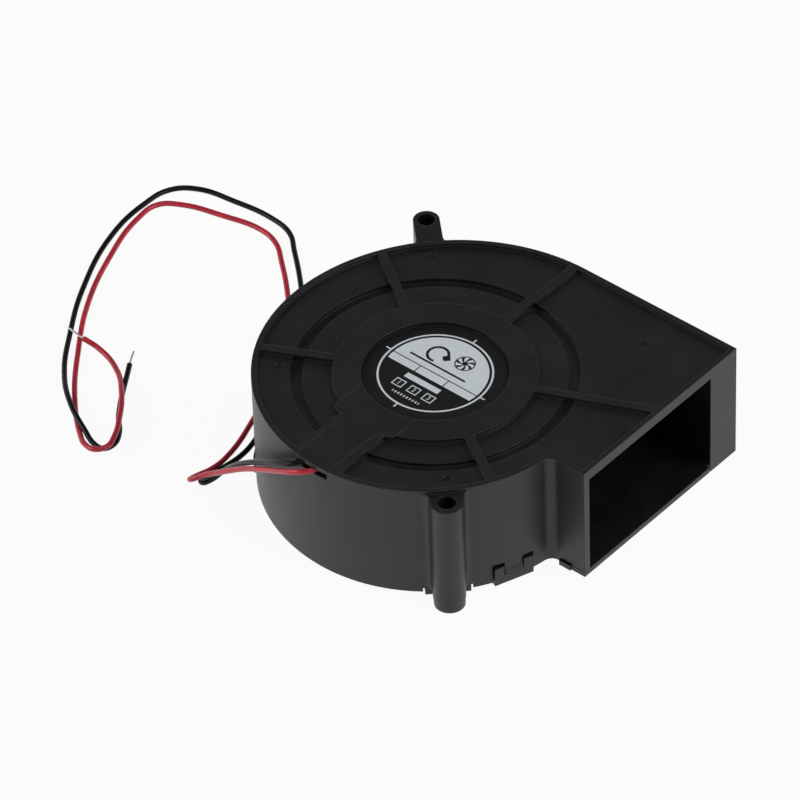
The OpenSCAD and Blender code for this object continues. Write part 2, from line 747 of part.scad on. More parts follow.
// Brass tube with a shoulder between its two bearing seats
module bearing_tube() {
    color([0.78, 0.62, 0.3]) difference() {
        translate([0, 0, tube_z]) cylinder(r = tube_r - fit_gap, h = pocket_z - tube_z);
        translate([0, 0, tube_z - 1]) cylinder(r = tube_in_r, h = lower_bearing_z + bearing_w - tube_z + 1);
        translate([0, 0, tube_z]) cylinder(r = tube_in_r - 0.7, h = pocket_z);
        translate([0, 0, upper_bearing_z]) cylinder(r = tube_in_r, h = case_h);
    }
}

// Plug that closes the tube under the label
module tube_cap() {
    color([0.2, 0.2, 0.2]) translate([0, 0, shaft_top_z + 0.6])
        cylinder(r = tube_in_r - fit_gap, h = recess_z - 0.05 - shaft_top_z - 0.6);
}

// ---------- stator ----------

module each_pole() {
    for (i = [0 : pole_n - 1]) rotate(i * 360 / pole_n) children();
}

module pole_shape(ring_r, half_w, face_in_r, face_out_r, face_angle) {
    difference() {
        union() {
            circle(ring_r);
            each_pole() translate([0, -half_w]) square([(face_in_r + face_out_r) / 2, 2 * half_w]);
            each_pole() pole_face(face_in_r, face_out_r, face_angle);
        }
        circle(tube_r);
    }
}

module pole_face(face_in_r, face_out_r, face_angle) {
    half = face_angle / 2;
    intersection() {
        difference() {
            circle(face_out_r);
            circle(face_in_r);
        }
        polygon([[0, 0], big * [cos(half), -sin(half)], [big, 0], big * [cos(half), sin(half)]]);
    }
}

module stator_core() {
    color([0.45, 0.45, 0.47]) translate([0, 0, core_z]) linear_extrude(core_h)
        pole_shape(tube_r + 2.4, tooth_w / 2, shoe_in_r, stator_r, shoe_angle);
}

module insulator(z, side) {
    t = insulator_t;
    color([0.85, 0.84, 0.78]) translate([0, 0, z]) mirror([0, 0, side < 0 ? 1 : 0]) {
        linear_extrude(t) pole_shape(tube_r + 2.8, tooth_w / 2 + 0.3, shoe_in_r, shoe_in_r + 0.8, 30);
        linear_extrude(coil_t + t) difference() {
            circle(tube_r + 2.8);
            circle(tube_r);
        }
        each_pole() slab(coil_out_r + 0.1, coil_out_r + 0.7, -tooth_side, tooth_side, 0, coil_t + t);
    }
}

module lower_insulator() { insulator(core_z, -1); }

module upper_insulator() {
    insulator(core_z + core_h, 1);
    // pins that carry the circuit board
    color([0.85, 0.84, 0.78]) each_pole() rotate(45) translate([tube_r + 1.6, 0, core_z + core_h])
        cylinder(r = 0.9, h = board_z - core_z - core_h, $fn = 24);
}

// One winding round a tooth
module coil(i) {
    mid_z = core_z + core_h / 2;
    half_z = core_h / 2 + insulator_t + 0.1;
    outer = coil_t - 0.2;
    color([0.72, 0.38, 0.18]) rotate(i * 360 / pole_n) translate([coil_in_r, 0, mid_z]) rotate([90, 0, 90])
        linear_extrude(coil_out_r - coil_in_r) difference() {
            round_rectangle(tooth_side + 2.4, half_z + outer, 1.6);
            round_rectangle(tooth_side, half_z, 0.4);
        }
}

module round_rectangle(half_w, half_h, r) {
    translate([-half_w, r - half_h]) square([2 * half_w, 2 * (half_h - r)]);
    translate([r - half_w, -half_h]) square([2 * (half_w - r), 2 * half_h]);
    for (sx = [-1, 1], sy = [-1, 1]) translate([sx * (half_w - r), sy * (half_h - r)]) circle(r, $fn = 32);
}

module coil_1() { coil(0); }
module coil_2() { coil(1); }
module coil_3() { coil(2); }
module coil_4() { coil(3); }

// ---------- electronics ----------

module circuit_board() {
    color([0.1, 0.35, 0.2]) tube_shape(board_r, tube_r + 0.3, board_z, board_top_z);
}

module hall_sensor() {
    color([0.15, 0.15, 0.15]) rotate(45) slab(magnet_r - 3.6, magnet_r - 1.6, -2, 2, board_z - 1.2, board_z);
}

module driver_chip() {
    color([0.15, 0.15, 0.15]) slab(9, 14, -2, 2, board_top_z, board_top_z + 1.5);
}

module capacitor() {
    color([0.72, 0.6, 0.42]) slab(-2, 2, 10, 12.4, board_top_z, board_top_z + 1.6);
}

// A low mound of solder on the board, with the wire's inner end in it
module solder_joint(route) {
    start = route[0];
    along = unit(route[1] - start);
    color([0.75, 0.75, 0.76]) {
        translate([start[0], start[1] + 3, board_top_z]) cylinder(r1 = 1.3, r2 = 0.7, h = 1.3, $fn = 24);
        swept_tube([[start[0], start[1] + 3, board_top_z + 0.7], start - along * 0.4, start], wire_d / 2, 8);
    }
}

module red_solder_joint() { solder_joint(red_route); }
module black_solder_joint() { solder_joint(black_route); }

// ---------- leads ----------

function unit(v) = v / norm(v);
function route_way(route, i) = let (n = len(route) - 1)
    unit(i == 0 ? route[1] - route[0] : i == n ? route[n] - route[n - 1]
        : unit(route[i + 1] - route[i]) + unit(route[i] - route[i - 1]));
function route_ring(route, i, r, sides) = let (way = route_way(route, i), across = unit(cross(way, [0, 0, 1])),
    up = cross(across, way))
    [for (s = [0 : sides - 1]) route[i] + r * (cos(360 * s / sides) * across + sin(360 * s / sides) * up)];

module swept_tube(route, r, sides) {
    n = len(route);
    points = [for (i = [0 : n - 1]) each route_ring(route, i, r, sides)];
    walls = [for (i = [0 : n - 2], s = [0 : sides - 1]) let (a = i * sides, b = a + sides, t = (s + 1) % sides)
        each [[a + s, b + t, b + s], [a + s, a + t, b + t]]];
    caps = [[for (s = [sides - 1 : -1 : 0]) s], [for (s = [0 : sides - 1]) (n - 1) * sides + s]];
    polyhedron(points, concat(walls, caps));
}

module lead(route, tint) {
    color(tint) swept_tube(route, lead_d / 2, 8);
}

// The bare, twisted and tinned end past the cut insulation
module wire_end(route) {
    last = route[len(route) - 1];
    way = unit(last - route[len(route) - 2]);
    color([0.78, 0.78, 0.8]) swept_tube([last, last + strip_l * way], wire_d / 2, 8);
}

module red_lead() { lead(red_route, [0.72, 0.1, 0.15]); }
module black_lead() { lead(black_route, [0.1, 0.1, 0.1]); }
module red_wire_end() { wire_end(red_route); }
module black_wire_end() { wire_end(black_route); }

housing();
inlet_cover();
lead_channel_cover();
label();
impeller();
rotor_yoke();
magnet_ring();
shaft();
shaft_boss();
retaining_clip();
preload_spring();
bearing_tube();
lower_bearing_outer();
lower_bearing_inner();
lower_bearing_balls();
lower_bearing_cage();
lower_bearing_shields();
upper_bearing_outer();
upper_bearing_inner();
upper_bearing_balls();
upper_bearing_cage();
upper_bearing_shields();
tube_cap();
stator_core();
lower_insulator();
upper_insulator();
coil_1();
coil_2();
coil_3();
coil_4();
circuit_board();
hall_sensor();
driver_chip();
capacitor();
red_lead();
black_lead();
red_wire_end();
black_wire_end();
red_solder_joint();
black_solder_joint();
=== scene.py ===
import math

import bmesh
import bpy
from mathutils import Matrix, Vector


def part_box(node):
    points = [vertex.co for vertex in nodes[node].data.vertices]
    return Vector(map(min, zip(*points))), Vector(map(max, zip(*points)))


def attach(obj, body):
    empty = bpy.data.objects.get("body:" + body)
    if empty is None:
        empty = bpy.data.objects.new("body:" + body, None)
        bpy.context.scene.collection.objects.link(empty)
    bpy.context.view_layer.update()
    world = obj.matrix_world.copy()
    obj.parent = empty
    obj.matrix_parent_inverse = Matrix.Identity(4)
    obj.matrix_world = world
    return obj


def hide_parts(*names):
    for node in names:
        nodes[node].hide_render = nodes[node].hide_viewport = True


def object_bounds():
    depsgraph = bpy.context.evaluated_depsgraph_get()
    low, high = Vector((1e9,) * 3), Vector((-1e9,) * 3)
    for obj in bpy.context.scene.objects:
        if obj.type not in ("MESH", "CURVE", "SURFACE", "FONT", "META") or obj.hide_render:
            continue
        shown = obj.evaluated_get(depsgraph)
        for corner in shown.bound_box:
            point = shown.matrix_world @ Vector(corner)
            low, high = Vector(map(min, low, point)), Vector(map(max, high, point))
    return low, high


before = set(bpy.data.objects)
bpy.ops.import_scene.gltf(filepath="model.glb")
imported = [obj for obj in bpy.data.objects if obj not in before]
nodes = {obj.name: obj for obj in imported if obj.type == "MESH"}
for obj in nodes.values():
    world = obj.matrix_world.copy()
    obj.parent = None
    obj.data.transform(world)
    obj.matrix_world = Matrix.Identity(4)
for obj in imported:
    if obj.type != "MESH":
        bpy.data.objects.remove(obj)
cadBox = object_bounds()
scene = bpy.context.scene
scene.view_settings.view_transform = "Standard"
mm = 0.001  # metres
print("frame loaded:", len(nodes), "nodes")

# Angles in degrees, distances in metres, lens and sensor in millimetres
viewFrom = {"turn": 41.9, "height": 41.64, "roll": -2.06, "distance": 1.5856, "lens": 299.72, "sensor": 36,
            "clip": (0.05, 20), "target": (0.00028, -0.01332, 0.033)}


def linkObject(name, data):
    made = bpy.data.objects.new(name, data)
    scene.collection.objects.link(made)
    return made


def placeCamera(values):
    turn, height, roll = (math.radians(values[k]) for k in ("turn", "height", "roll"))
    back = Vector((math.sin(turn) * math.cos(height), -math.cos(turn) * math.cos(height), math.sin(height)))
    right = Vector((math.cos(turn), math.sin(turn), 0))
    up = back.cross(right)
    acrossView = math.cos(roll) * right + math.sin(roll) * up
    upView = math.cos(roll) * up - math.sin(roll) * right
    camera = linkObject("camera", bpy.data.cameras.new("camera"))
    camera.data.lens = values["lens"]
    camera.data.sensor_width = values["sensor"]
    camera.data.clip_start, camera.data.clip_end = values["clip"]
    place = Vector(values["target"]) + values["distance"] * back
    camera.matrix_world = Matrix.Translation(place) @ Matrix((acrossView, upView, back)).transposed().to_4x4()
    scene.camera = camera


placeCamera(viewFrom)
print("camera placed")

# The leads: lengths in millimetres, and the routes of the source, from the solder joint to the cut end
leadSizes = {"diameter": 1.4, "sides": 6, "bareLength": 5.0, "sunk": 0.6, "strand": 0.2, "strandSides": 2,
             "strands": 7, "twists": 2.6, "spread": 0.94, "gather": 0.1, "swerve": 0.35, "steps": 26}

redRoute = ((-1.2, -18.8, 28.7), (-1.2, -21.4, 29.7), (-1, -24.6, 31), (-0.4, -34, 31), (-0.4, -41.5, 31),
            (-1.8, -44.5, 30.9), (-5, -46, 30), (-10, -45.4, 27), (-17, -43.6, 22.2), (-25, -41.8, 16.6),
            (-33.3, -40.8, 10.2), (-37.2, -40.2, 7), (-40.4, -40.5, 4.7), (-42.4, -41.6, 3.3),
            (-44.2, -40.9, 1.7), (-44.4, -38.3, 0.8), (-43.2, -34, 0.8), (-43.2, -29, 0.8), (-47, -15.1, 0.8),
            (-58.5, 12, 0.8), (-71.3, 25.9, 0.8), (-81, 34.6, 0.8), (-87, 39.2, 0.8), (-93, 40.8, 0.8),
            (-105, 38.8, 0.8), (-116, 35.4, 0.8), (-120.4, 31.8, 0.8), (-120.8, 25, 0.8), (-115.9, 8.4, 0.8),
            (-108, -8.2, 0.8), (-98, -22.5, 0.8), (-87.5, -35.2, 0.8), (-76.4, -45.2, 0.9),
            (-72.4, -47.6, 1.6), (-68.8, -47.8, 2.3), (-67.3, -45.4, 2.4), (-68.2, -42, 2.4),
            (-72.3, -35.3, 2.4), (-77.2, -29.2, 2.4), (-87.3, -20.9, 0.8), (-94.7, -18.9, 1.3),
            (-99, -19.3, 2.2))
blackRoute = ((-3.8, -18.8, 28.7), (-3.8, -21.4, 29.7), (-3.8, -24.6, 31), (-3.8, -34, 31), (-4.3, -41.5, 31),
              (-6, -44.3, 30.9), (-10, -44.8, 29.2), (-17.5, -42.9, 23.8), (-25, -40.8, 17.9),
              (-31, -38.8, 12.1), (-36.7, -37.3, 5.8), (-39, -38.8, 3), (-40.9, -39.9, 1.7),
              (-42.6, -38.5, 0.9), (-42.2, -35.8, 0.8), (-41.2, -31.3, 0.8), (-40.9, -24.9, 0.8),
              (-42.4, -18, 0.8), (-48.4, 1, 0.8), (-56.4, 15, 0.8), (-70.4, 30, 0.8), (-81.5, 40, 0.8),
              (-87, 44.4, 0.8), (-94, 45.9, 0.8), (-106, 45, 0.8), (-117, 42.6, 0.8), (-122, 38, 0.8),
              (-123.3, 30, 0.8), (-121.6, 16, 0.8), (-113, -4.6, 0.8), (-104, -19, 0.8), (-95, -30.8, 1.2),
              (-84.6, -39.6, 2.5), (-76.4, -43.7, 1.7), (-71.6, -45.4, 0.8), (-68.8, -45.2, 0.8),
              (-67.8, -42.8, 0.8), (-69, -39.4, 0.8), (-74.2, -33.7, 0.8), (-84.6, -18.3, 0.8))


def newCurve(name, radius, sides, splines, smooth=True):
    curve = bpy.data.curves.new(name, "CURVE")
    curve.dimensions = "3D"
    curve.resolution_u = 6 if smooth else 1
    curve.bevel_depth = 1.0  # each knot's radius then is the tube's
    curve.bevel_resolution = sides
    curve.use_fill_caps = True
    for points in splines:
        spline = curve.splines.new("BEZIER" if smooth else "POLY")
        knots = spline.bezier_points if smooth else spline.points
        knots.add(len(points) - 1)
        for knot, place in zip(knots, points):
            knot.radius = radius
            if smooth:
                knot.co = place
                knot.handle_left_type = knot.handle_right_type = "AUTO"
            else:
                knot.co = (*place, 1)
    return linkObject(name, curve)


def evaluatedMesh(holder):
    bpy.context.view_layer.update()
    return bpy.data.meshes.new_from_object(holder.evaluated_get(bpy.context.evaluated_depsgraph_get()))


def asMesh(holder):
    name, curve = holder.name, holder.data
    mesh = evaluatedMesh(holder)
    bpy.data.objects.remove(holder)
    bpy.data.curves.remove(curve)
    return linkObject(name, mesh)


def strandPath(end, way, sizes, index):
    side = way.cross(Vector((0, 0, 1))).normalized()
    up = side.cross(way)
    path = []
    for i in range(sizes["steps"] + 1):
        along = i / sizes["steps"]
        turn = 2 * math.pi * (index / (sizes["strands"] - 1) + sizes["twists"] * along)
        spread = sizes["strand"] * (sizes["spread"] - sizes["gather"] * along) if index else 0
        reach = (sizes["bareLength"] + sizes["sunk"]) * along - sizes["sunk"]
        swerve = sizes["swerve"] * along * along * math.sin(2 * along)
        across = (swerve + spread * math.cos(turn)) * side + spread * math.sin(turn) * up
        path.append(end + mm * (reach * way + across))
    return path


def makeLead(name, wireName, node, wireNode, route, sizes):
    points = [Vector(p) * mm for p in route]
    lead = newCurve(name, sizes["diameter"] / 2 * mm, sizes["sides"], [points])
    way = (points[-1] - points[-2]).normalized()
    strands = [strandPath(points[-1], way, sizes, k) for k in range(sizes["strands"])]
    wire = asMesh(newCurve(wireName, sizes["strand"] / 2 * mm, sizes["strandSides"], strands, smooth=False))
    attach(lead, "casing")
    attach(wire, "casing")
    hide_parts(node)
    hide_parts(wireNode)


makeLead("redLead", "redWire", "red_lead", "red_wire_end", redRoute, leadSizes)
makeLead("blackLead", "blackWire", "black_lead", "black_wire_end", blackRoute, leadSizes)
print("leads made")


class Sock:  # a shader socket that can stand in a sum
    def __init__(self, graph, socket):
        self.graph = graph
        self.socket = socket

    def sibling(self, out):
        return Sock(self.graph, self.socket.node.outputs[out])

    def combine(self, operation, first, second=0.0):
        return self.graph.add("ShaderNodeMath", {"operation": operation}, {0: first, 1: second})

    def __add__(self, other):
        return self.combine("ADD", self, other)

    def __radd__(self, other):
        return self.combine("ADD", other, self)

    def __sub__(self, other):
        return self.combine("SUBTRACT", self, other)

    def __rsub__(self, other):
        return self.combine("SUBTRACT", other, self)

    def __mul__(self, other):
        return self.combine("MULTIPLY", self, other)

    def __rmul__(self, other):
        return self.combine("MULTIPLY", other, self)

    def __truediv__(self, other):
        return self.combine("DIVIDE", self, other)

    def __pow__(self, other):
        return self.combine("POWER", self, other)

    def __and__(self, other):
        return self.combine("MINIMUM", self, other)

    def __or__(self, other):
        return self.combine("MAXIMUM", self, other)

    def __abs__(self):
        return self.combine("ABSOLUTE", self)

    def fraction(self):
        return self.combine("FRACT", self)

    def sine(self):
        return self.combine("SINE", self)


class Graph:  # a node tree that grows by one call a node
    def __init__(self, tree):
        self.tree = tree

    def feed(self, socket, value):
        if isinstance(value, Sock):
            self.tree.links.new(value.socket, socket)
        else:
            socket.default_value = value

    def add(self, kind, settings, values, out=0):
        node = self.tree.nodes.new(kind)
        for key, value in settings.items():
            setattr(node, key, value)
        for key, value in values.items():
            self.feed(node.inputs[key], value)
        return Sock(self, node.outputs[out])


class Finish(Graph):  # one procedural material, whose x, y and z are millimetres on the piece
    inputs = {"colour": "Base Color", "rough": "Roughness", "metal": "Metallic", "coat": "Coat Weight",
              "normal": "Normal", "specular": "Specular IOR Level"}

    def __init__(self, name):
        self.material = bpy.data.materials.new(name)
        self.material.use_nodes = True
        super().__init__(self.material.node_tree)
        self.shader = self.tree.nodes["Principled BSDF"]
        place = self.add("ShaderNodeTexCoord", {}, {}, out="Object")
        self.place = self.add("ShaderNodeVectorMath", {"operation": "SCALE"}, {0: place, "Scale": 1 / mm})
        self.x = self.add("ShaderNodeSeparateXYZ", {}, {0: self.place})
        self.y, self.z = self.x.sibling(1), self.x.sibling(2)

    def noise(self, size, detail=3.0, roughness=0.55, stretch=None):
        spot = self.place
        if stretch:
            spot = self.add("ShaderNodeMapping", {}, {0: spot, "Scale": stretch})
        return self.add("ShaderNodeTexNoise", {}, {"Vector": spot, "Scale": 1 / size, "Detail": detail,
                                                   "Roughness": roughness})

    def cells(self, size):
        return self.add("ShaderNodeTexVoronoi", {}, {"Vector": self.place, "Scale": 1 / size}, out="Distance")

    def step(self, value, low, high):
        return self.add("ShaderNodeMapRange", {"interpolation_type": "SMOOTHSTEP"},
                        {"Value": value, "From Min": low, "From Max": high})

    def below(self, value, limit, width=0.05):
        return self.step(value, limit + width, limit - width)

    def away(self, x=0, y=0):
        return ((self.x - x) * (self.x - x) + (self.y - y) * (self.y - y)) ** 0.5

    def turn(self, x=0, y=0):
        return self.add("ShaderNodeMath", {"operation": "ARCTAN2"}, {0: self.y - y, 1: self.x - x})

    def box(self, x, y, halfX, halfY):
        return self.below(abs(self.x - x), halfX) & self.below(abs(self.y - y), halfY)

    def blend(self, factor, first, second):
        first, second = (c if isinstance(c, Sock) else (*c, 1) for c in (first, second))
        return self.add("ShaderNodeMix", {"data_type": "RGBA"}, {0: factor, 6: first, 7: second}, out=2)

    def bump(self, height, depth, strength=1.0, edge=0):
        values = {"Height": height, "Distance": depth * mm, "Strength": strength}
        if edge:
            values["Normal"] = self.add("ShaderNodeBevel", {"samples": 6}, {"Radius": edge * mm})
        return self.add("ShaderNodeBump", {}, values)

    def use(self, **values):
        for key, value in values.items():
            value = (*value, 1) if isinstance(value, tuple) else value
            self.feed(self.shader.inputs[self.inputs[key]], value)
        return self.material


def times(factor, colour, lift=0.0):
    return tuple(factor * c + lift for c in colour)


# Colours are linear, and sizes of a grain, a cloud or an edge are in millimetres
casingLook = {"dark": (0.0048, 0.0048, 0.0053), "pale": (0.0078, 0.0078, 0.0086), "grain": 0.22,
              "depth": 0.03, "rough": 0.44, "edge": 0.3}
impellerLook = {"dark": (0.008, 0.008, 0.0084), "pale": (0.012, 0.012, 0.0125), "grain": 0.5,
                "depth": 0.012, "rough": 0.42, "edge": 0.12}
plasticWear = {"cloud": 9, "streak": 2.2, "streakStretch": (1, 0.25, 1), "streakRange": (0.62, 0.78),
               "fleck": 1.9, "fleckRange": (0.045, 0.02), "patch": 6, "patchRange": (0.52, 0.66),
               "rubbed": 0.25, "dusty": 0.35, "dust": (0.2, 0.2, 0.19)}


def mouldedPlastic(name, look, wear=plasticWear):
    f = Finish(name)
    cloud = f.noise(wear["cloud"], 4)
    grain = f.noise(look["grain"], 2, 0.6)
    rub = f.step(f.noise(wear["streak"], 5, 0.7, wear["streakStretch"]), *wear["streakRange"])
    flecks = f.step(f.cells(wear["fleck"]), *wear["fleckRange"])
    dust = flecks * f.step(f.noise(wear["patch"], 2), *wear["patchRange"])
    tint = f.blend(f.step(cloud, 0.3, 0.72), look["dark"], look["pale"])
    tint = f.blend(rub * wear["rubbed"], tint, times(2.2, look["pale"]))
    tint = f.blend(dust * wear["dusty"], tint, wear["dust"])
    rough = look["rough"] + 0.14 * (cloud - 0.5) + 0.1 * (grain - 0.5) - 0.08 * rub
    height = grain + 0.6 * f.noise(look["grain"] * 3.4, 2)
    return f.use(colour=tint, rough=rough, normal=f.bump(height, look["depth"], 0.9, look["edge"]))


leadLook = {"red": (0.42, 0.012, 0.03), "black": (0.003, 0.003, 0.0033), "scuff": (0.35, 0.32, 0.32),
            "rough": 0.32, "shine": {"red": 0.5, "black": 0.2}, "cloud": 3.5, "scratch": 0.7, "grain": 0.35}


def leadInsulation(name, tone, look):
    f = Finish(name)
    mottle = f.noise(look["cloud"], 3)
    tint = f.blend(f.step(mottle, 0.3, 0.75), look[tone], times(1.35, look[tone], 0.001))
    scuff = f.step(f.noise(look["scratch"], 4, 0.7), 0.6, 0.75)
    tint = f.blend(scuff * 0.05, tint, look["scuff"])
    rough = look["rough"] + 0.15 * scuff + 0.1 * (mottle - 0.5)
    return f.use(colour=tint, rough=rough, normal=f.bump(f.noise(look["grain"], 2), 0.02, 0.5),
                 specular=look["shine"][tone])


steelLook = {"colour": (0.55, 0.55, 0.57), "rough": 0.36, "pitch": 0.09}
groundLook = {"colour": (0.72, 0.72, 0.74), "rough": 0.14, "pitch": 0.03}
brassLook = {"colour": (0.72, 0.53, 0.24), "rough": 0.28, "pitch": 0.09}
turning = {"cloud": 4, "shade": 0.86, "depth": 0.006, "strength": 0.8, "edge": 0.06}


def turnedMetal(name, look, marks=turning):
    f = Finish(name)
    across, along = f.away() / look["pitch"], f.z / look["pitch"]
    lathe = f.add("ShaderNodeCombineXYZ", {}, {0: across, 1: along})  # rings round the shaft
    rings = f.add("ShaderNodeTexNoise", {"noise_dimensions": "2D"},
                  {"Vector": lathe, "Scale": 1.0, "Detail": 3.0})
    cloud = f.noise(marks["cloud"], 3)
    tint = f.blend(f.step(cloud, 0.3, 0.7), times(marks["shade"], look["colour"]), look["colour"])
    return f.use(colour=tint, metal=1.0, rough=look["rough"] + 0.16 * (rings - 0.5) + 0.1 * (cloud - 0.5),
                 normal=f.bump(rings, marks["depth"], marks["strength"], marks["edge"]))


tinLook = {"dark": (0.5, 0.49, 0.48), "pale": (0.78, 0.78, 0.79), "cloud": 0.5, "rough": 0.26, "depth": 0.02}


def tinnedWire(name, look):
    f = Finish(name)
    cloud = f.noise(look["cloud"], 4, 0.6)
    tint = f.blend(f.step(cloud, 0.35, 0.7), look["dark"], look["pale"])
    return f.use(colour=tint, metal=1.0, rough=look["rough"] + 0.3 * (cloud - 0.4),
                 normal=f.bump(cloud, look["depth"], 0.7))


def grainedSolid(name, look):  # a fine even grain between two colours
    f = Finish(name)
    grain = f.noise(look["grain"], look["detail"], look.get("harsh", 0.55))
    factor = f.step(grain, *look["range"]) if "range" in look else grain
    return f.use(colour=f.blend(factor, look["dark"], look["pale"]),
                 rough=look["rough"] + 0.2 * (grain - 0.5),
                 normal=f.bump(grain, look["depth"], look["strength"], look["edge"]))


magnetLook = {"dark": (0.03, 0.028, 0.028), "pale": (0.075, 0.07, 0.07), "grain": 0.25, "detail": 4,
              "harsh": 0.7, "range": (0.35, 0.7), "rough": 0.62, "depth": 0.03, "strength": 0.8, "edge": 0.15}
chipLook = {"dark": (0.012, 0.012, 0.012), "pale": (0.03, 0.03, 0.03), "grain": 0.12, "detail": 3,
            "rough": 0.55, "depth": 0.01, "strength": 0.7, "edge": 0.08}
ceramicLook = {"dark": (0.42, 0.3, 0.17), "pale": (0.6, 0.46, 0.3), "grain": 0.2, "detail": 4,
               "rough": 0.4, "depth": 0.008, "strength": 0.7, "edge": 0.08}
sheetLook = {"sheet": 0.5, "steel": (0.3, 0.3, 0.32), "joint": (0.05, 0.045, 0.04), "groove": 0.05,
             "rust": (0.2, 0.16, 0.12), "rusty": 0.5, "rustCloud": 1.5}


def stackedSheet(name, look):
    f = Finish(name)
    joint = f.step(abs((f.z / look["sheet"]).fraction() - 0.5), 0.42, 0.49)
    tint = f.blend(joint, look["steel"], look["joint"])
    tint = f.blend(f.step(f.noise(look["rustCloud"], 4), 0.5, 0.8) * look["rusty"], tint, look["rust"])
    return f.use(colour=tint, metal=0.85, rough=0.42 + 0.25 * joint, normal=f.bump(1 - joint, look["groove"]))


coilLook = {"wire": 0.3, "crown": 0.12, "dark": (0.42, 0.12, 0.03), "pale": (0.75, 0.3, 0.1), "cloud": 0.8}


def woundCopper(name, look):
    f = Finish(name)
    across = ((abs(f.x) | abs(f.y)) / look["wire"]).fraction() - 0.5
    crown = 1 - 4 * across * across
    return f.use(colour=f.blend(f.noise(look["cloud"], 2), look["dark"], look["pale"]), metal=0.9, coat=0.4,
                 rough=0.28 + 0.12 * f.noise(1, 2), normal=f.bump(crown, look["crown"]))


nylonLook = {"dark": (0.72, 0.69, 0.58), "pale": (0.8, 0.78, 0.68), "cloud": 2.5, "grain": 0.3, "edge": 0.1}


def mouldedNylon(name, look):
    f = Finish(name)
    cloud = f.noise(look["cloud"], 3)
    return f.use(colour=f.blend(f.step(cloud, 0.3, 0.7), look["dark"], look["pale"]),
                 rough=0.45 + 0.15 * (cloud - 0.5),
                 normal=f.bump(f.noise(look["grain"], 3), 0.01, 0.6, look["edge"]))


boardLook = {"mask": (0.012, 0.09, 0.035), "overCopper": (0.03, 0.2, 0.07), "trackPitch": 1.7, "spokes": 7,
             "weave": 12, "wander": 5, "raise": 0.03}


def printedBoard(name, look):
    f = Finish(name)
    wander = f.noise(look["wander"], 1)
    rings = abs((f.away() / look["trackPitch"]).fraction() - 0.5)
    tracks = f.step(rings, 0.2, 0.24) * f.step(wander, 0.44, 0.47)
    spokes = f.step(abs((f.turn() * look["spokes"]).sine()), 0.1, 0.07)
    copper = tracks | spokes * f.step(wander, 0.5, 0.52)
    weave = (f.x * look["weave"]).sine() * (f.y * look["weave"]).sine()
    return f.use(colour=f.blend(copper, look["mask"], look["overCopper"]), rough=0.3 + 0.1 * f.noise(0.8, 2),
                 normal=f.bump(copper + 0.15 * weave, look["raise"], 0.9))


# The label's print: places and sizes in millimetres; a box is its middle and its half sides
labelLook = {"silver": (0.78, 0.85, 0.88), "ink": (0.005, 0.005, 0.0056), "ring": 13.85, "ringHalf": 0.25,
             "tickOut": 0.85, "tickHalf": (0.7, 0.2), "field": 12.95, "fieldLow": 0.0, "band": (-0.3, -2.6),
             "dividers": (-4.4, 4.4), "dividerHalf": 0.14, "line": (-1, 2.0, 8.6, 0.3),
             "bar": (0, -4.7, 5.2, 0.85), "squares": (-4.6, 0.0, 4.6), "squareY": -8.0,
             "squareHalf": (1.5, 1.3), "squareWall": 0.28, "strokes": (0, -11.0, 4.1, 0.35),
             "strokePitch": 0.9, "strokeHalf": 0.22, "metal": 0.15, "shine": 0.3, "rough": 0.45, "depth": 0.02,
             "fade": 0.9, "worn": 0.92, "cloud": 5, "lift": 1.6}
wheelLook = {"place": (3.4, 7.0), "rim": 2.45, "rimHalf": 0.16, "hub": 0.7, "tip": 2.3,
             "blades": 7, "sweep": 1.6}
arrowLook = {"place": (-3.9, 5.6), "radius": 2.6, "half": 0.36, "gap": (2.6, -1.6, 1.9, 1.7), "head": 1.25,
             "headUp": 0.1, "headSquash": 0.9, "headLow": -0.95}


def bladedWheel(f, look):
    away = f.away(*look["place"])
    blades = f.step((f.turn(*look["place"]) * look["blades"] + away * look["sweep"]).sine(), 0.05, 0.3)
    wheel = f.below(abs(away - look["rim"]), look["rimHalf"]) | f.below(away, look["hub"])
    return wheel | (blades & f.below(away, look["tip"]))


def turningArrow(f, look):
    x, y = look["place"]
    gapX, gapY, gapHalfX, gapHalfY = look["gap"]
    arc = f.below(abs(f.away(x, y) - look["radius"]), look["half"])
    arc = arc & (1 - f.box(x + gapX, y + gapY, gapHalfX, gapHalfY))
    slope = abs(f.x - x - look["radius"]) + abs(f.y - y - look["headUp"]) * look["headSquash"]
    return arc | (f.below(slope, look["head"]) & (1 - f.below(f.y, y + look["headLow"])))


